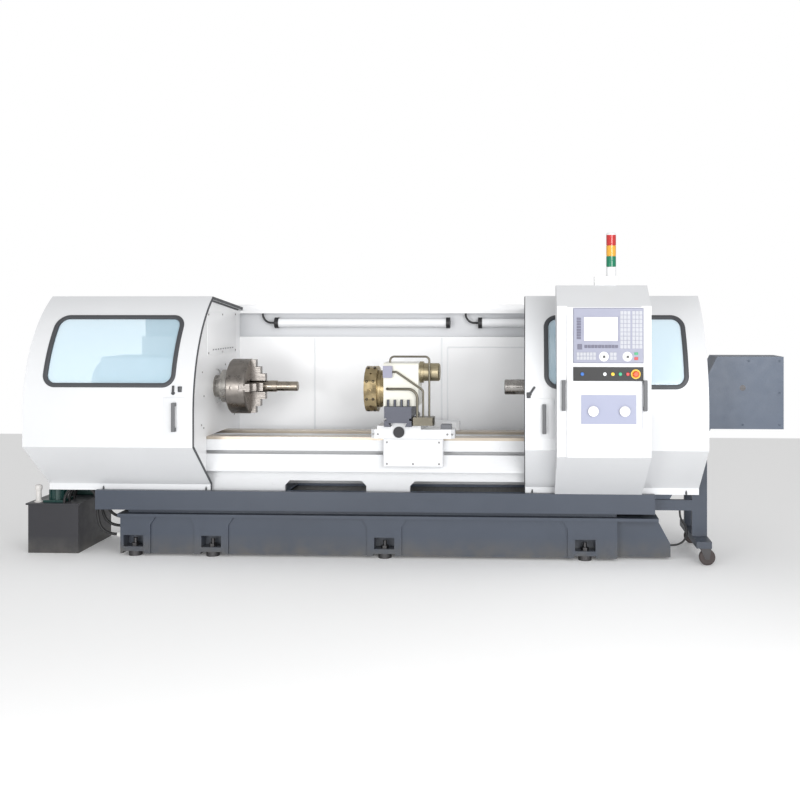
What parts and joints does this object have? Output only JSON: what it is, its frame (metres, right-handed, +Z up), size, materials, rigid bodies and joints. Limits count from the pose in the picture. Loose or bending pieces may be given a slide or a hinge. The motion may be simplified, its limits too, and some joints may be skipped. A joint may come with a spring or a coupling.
{
  "type": "cnc turning lathe",
  "caption": "Flat-bed CNC turning lathe with sliding hood doors, chuck, tool turret, tailstock, movable control cabinet, chip conveyor and coolant tank.",
  "frame": {"origin": "on the floor, in the middle of the machine's footprint", "axes": "+X from the headstock to the tailstock, +Y to the back, +Z up"},
  "size_m": [5.3, 1.8544, 2.222],
  "materials": {
    "white_paint": "satin powder coat",
    "blue_grey_paint": "satin paint",
    "conveyor_paint": "satin paint",
    "tank_paint": "satin paint",
    "bed_iron": "painted casting with ground ways",
    "machine_steel": "ground steel",
    "dark_steel": "turned steel",
    "bronze_disc": "turned, oiled",
    "turret_paint": "cream paint",
    "grey_iron": "machined casting",
    "motor_black": "matt paint",
    "pump_green": "gloss paint",
    "rubber": "matt",
    "window": "clear tinted",
    "lamp_white": "diffuse",
    "panel_lilac": "satin",
    "tower_plastic": "gloss",
    "blue_plastic": "gloss",
    "yellow_plastic": "gloss",
    "green_plastic": "gloss",
    "red_plastic": "gloss",
    "dial_white": "satin",
    "caster_tread": "matt"
  },
  "bodies": {
    "frame": {"base_plinth": "blue_grey_paint", "levelling_feet": "machine_steel", "chip_tray": "blue_grey_paint", "bed_casting": "bed_iron", "rear_guard": "white_paint", "work_lamps": "lamp_white", "headstock_casting": "white_paint", "headstock_bulkhead": "white_paint", "belt_cover": "white_paint", "main_motor": "motor_black", "drive_belt": "rubber", "z_drive": "motor_black", "coolant_tank": "tank_paint", "coolant_pump": "pump_green", "coolant_hoses": "rubber", "electrical_cabinet": "white_paint", "conveyor_housing": "conveyor_paint", "conveyor_belt": "dark_steel", "conveyor_stand": "blue_grey_paint", "conveyor_cable": "rubber"},
    "spindle": {"spindle_shaft": "machine_steel", "chuck_body": "dark_steel", "test_bar": "machine_steel"},
    "jaw_top": {"chuck_jaw_top": "dark_steel"},
    "jaw_front": {"chuck_jaw_front": "dark_steel"},
    "jaw_bottom": {"chuck_jaw_bottom": "dark_steel"},
    "jaw_back": {"chuck_jaw_back": "dark_steel"},
    "motor_rotor": {"motor_pulley": "machine_steel"},
    "long_screw": {"z_screw": "machine_steel"},
    "carriage": {"saddle": "white_paint", "apron": "white_paint"},
    "cross_screw": {"x_screw": "machine_steel"},
    "cross_slide": {"turret_riser": "grey_iron", "turret_body": "turret_paint", "turret_motor": "turret_paint", "turret_pipes": "machine_steel"},
    "tool_disc": {"turret_disc": "bronze_disc"},
    "tailstock": {"tailstock_body": "white_paint"},
    "quill": {"tailstock_quill": "machine_steel"},
    "left_door": {"left_door_shell": "white_paint", "left_door_pane": "window"},
    "right_door": {"right_door_shell": "white_paint", "right_door_pane": "window"},
    "control": {"control_cabinet": "white_paint", "operator_panels": "panel_lilac", "signal_tower": "tower_plastic"},
    "blue_key": {"blue_button": "blue_plastic"},
    "yellow_key": {"yellow_button": "yellow_plastic"},
    "green_key": {"green_button": "green_plastic"},
    "red_key": {"red_button": "red_plastic"},
    "stop_key": {"stop_button": "red_plastic"},
    "feed_knob": {"feed_dial": "dial_white"},
    "speed_knob": {"speed_dial": "dial_white"},
    "x_wheel": {"x_handwheel": "dial_white"},
    "z_wheel": {"z_handwheel": "dial_white"},
    "belt_shaft": {"conveyor_shaft": "machine_steel"},
    "front_fork": {"front_caster_fork": "machine_steel"},
    "front_wheel": {"front_caster_wheel": "caster_tread"},
    "rear_fork": {"rear_caster_fork": "machine_steel"},
    "rear_wheel": {"rear_caster_wheel": "caster_tread"}
  },
  "joints": [
    {"name": "spindle_turn", "type": "hinge", "parent": "frame", "child": "spindle", "pos_m": [-1.235, -0.085, 1.173], "axis": [1, 0, 0], "continuous": true},
    {"name": "jaw_top_slide", "type": "slide", "parent": "spindle", "child": "jaw_top", "axis": [0, 0, 1], "range_m": [0, 0.05]},
    {"name": "jaw_front_slide", "type": "slide", "parent": "spindle", "child": "jaw_front", "axis": [0, -1, 0], "range_m": [0, 0.05]},
    {"name": "jaw_bottom_slide", "type": "slide", "parent": "spindle", "child": "jaw_bottom", "axis": [0, 0, -1], "range_m": [0, 0.05]},
    {"name": "jaw_back_slide", "type": "slide", "parent": "spindle", "child": "jaw_back", "axis": [0, 1, 0], "range_m": [0, 0.05]},
    {"name": "motor_turn", "type": "hinge", "parent": "frame", "child": "motor_rotor", "pos_m": [-2.135, 0.317, 1.023], "axis": [1, 0, 0], "continuous": true},
    {"name": "carriage_slide", "type": "slide", "parent": "frame", "child": "carriage", "axis": [1, 0, 0], "range_m": [-0.5, 0.4]},
    {"name": "long_screw_turn", "type": "hinge", "parent": "frame", "child": "long_screw", "pos_m": [0, -0.277, 0.662], "axis": [1, 0, 0], "continuous": true},
    {"name": "cross_slide_move", "type": "slide", "parent": "carriage", "child": "cross_slide", "axis": [0, 1, 0], "range_m": [-0.13, 0.1]},
    {"name": "cross_screw_turn", "type": "hinge", "parent": "carriage", "child": "cross_screw", "pos_m": [0.009, -0.085, 0.885], "axis": [0, 1, 0], "continuous": true},
    {"name": "disc_index", "type": "hinge", "parent": "cross_slide", "child": "tool_disc", "pos_m": [-0.185, -0.29, 1.173], "axis": [1, 0, 0], "continuous": true},
    {"name": "tailstock_slide", "type": "slide", "parent": "frame", "child": "tailstock", "axis": [1, 0, 0], "range_m": [-0.4, 0.2]},
    {"name": "quill_slide", "type": "slide", "parent": "tailstock", "child": "quill", "axis": [-1, 0, 0], "range_m": [-0.12, 0.1]},
    {"name": "left_door_slide", "type": "slide", "parent": "frame", "child": "left_door", "axis": [1, 0, 0], "range_m": [0, 1.09]},
    {"name": "right_door_slide", "type": "slide", "parent": "frame", "child": "right_door", "axis": [-1, 0, 0], "range_m": [0, 1.09]},
    {"name": "control_slide", "type": "slide", "parent": "frame", "child": "control", "axis": [1, 0, 0], "range_m": [-1.8, 0.08]},
    {"name": "blue_press", "type": "slide", "parent": "control", "child": "blue_key", "axis": [0, 1, 0], "range_m": [0, 0.004], "stiffness_N_per_m": 400, "springref_m": -0.002},
    {"name": "yellow_press", "type": "slide", "parent": "control", "child": "yellow_key", "axis": [0, 1, 0], "range_m": [0, 0.004], "stiffness_N_per_m": 400, "springref_m": -0.002},
    {"name": "green_press", "type": "slide", "parent": "control", "child": "green_key", "axis": [0, 1, 0], "range_m": [0, 0.004], "stiffness_N_per_m": 400, "springref_m": -0.002},
    {"name": "red_press", "type": "slide", "parent": "control", "child": "red_key", "axis": [0, 1, 0], "range_m": [0, 0.004], "stiffness_N_per_m": 400, "springref_m": -0.002},
    {"name": "stop_press", "type": "slide", "parent": "control", "child": "stop_key", "axis": [0, 1, 0], "range_m": [0, 0.004], "stiffness_N_per_m": 400, "springref_m": -0.002},
    {"name": "feed_dial_turn", "type": "hinge", "parent": "control", "child": "feed_knob", "pos_m": [1.359, -0.899, 1.425], "axis": [0, -1, 0], "range_deg": [-150, 150]},
    {"name": "speed_dial_turn", "type": "hinge", "parent": "control", "child": "speed_knob", "pos_m": [1.505, -0.899, 1.425], "axis": [0, -1, 0], "range_deg": [-150, 150]},
    {"name": "x_wheel_turn", "type": "hinge", "parent": "control", "child": "x_wheel", "pos_m": [1.2935, -0.899, 1.084], "axis": [0, -1, 0], "continuous": true},
    {"name": "z_wheel_turn", "type": "hinge", "parent": "control", "child": "z_wheel", "pos_m": [1.489, -0.899, 1.084], "axis": [0, -1, 0], "continuous": true},
    {"name": "belt_drive_turn", "type": "hinge", "parent": "frame", "child": "belt_shaft", "pos_m": [2.365, -0.047, 1.18], "axis": [0, 1, 0], "continuous": true},
    {"name": "front_caster_swivel", "type": "hinge", "parent": "frame", "child": "front_fork", "pos_m": [2.065, -0.369, 0.1], "axis": [0, 0, 1], "continuous": true},
    {"name": "front_caster_roll", "type": "hinge", "parent": "front_fork", "child": "front_wheel", "pos_m": [2.091, -0.369, 0.054], "axis": [0, 1, 0], "continuous": true},
    {"name": "rear_caster_swivel", "type": "hinge", "parent": "frame", "child": "rear_fork", "pos_m": [2.065, 0.279, 0.1], "axis": [0, 0, 1], "continuous": true},
    {"name": "rear_caster_roll", "type": "hinge", "parent": "rear_fork", "child": "rear_wheel", "pos_m": [2.091, 0.279, 0.054], "axis": [0, 1, 0], "continuous": true}
  ],
  "couplings": [
    {"joint": "motor_turn", "follows": "spindle_turn", "ratio": 1.5789},
    {"joint": "long_screw_turn", "follows": "carriage_slide", "rad_per_m": 523.6},
    {"joint": "cross_screw_turn", "follows": "cross_slide_move", "rad_per_m": 628.32}
  ]
}
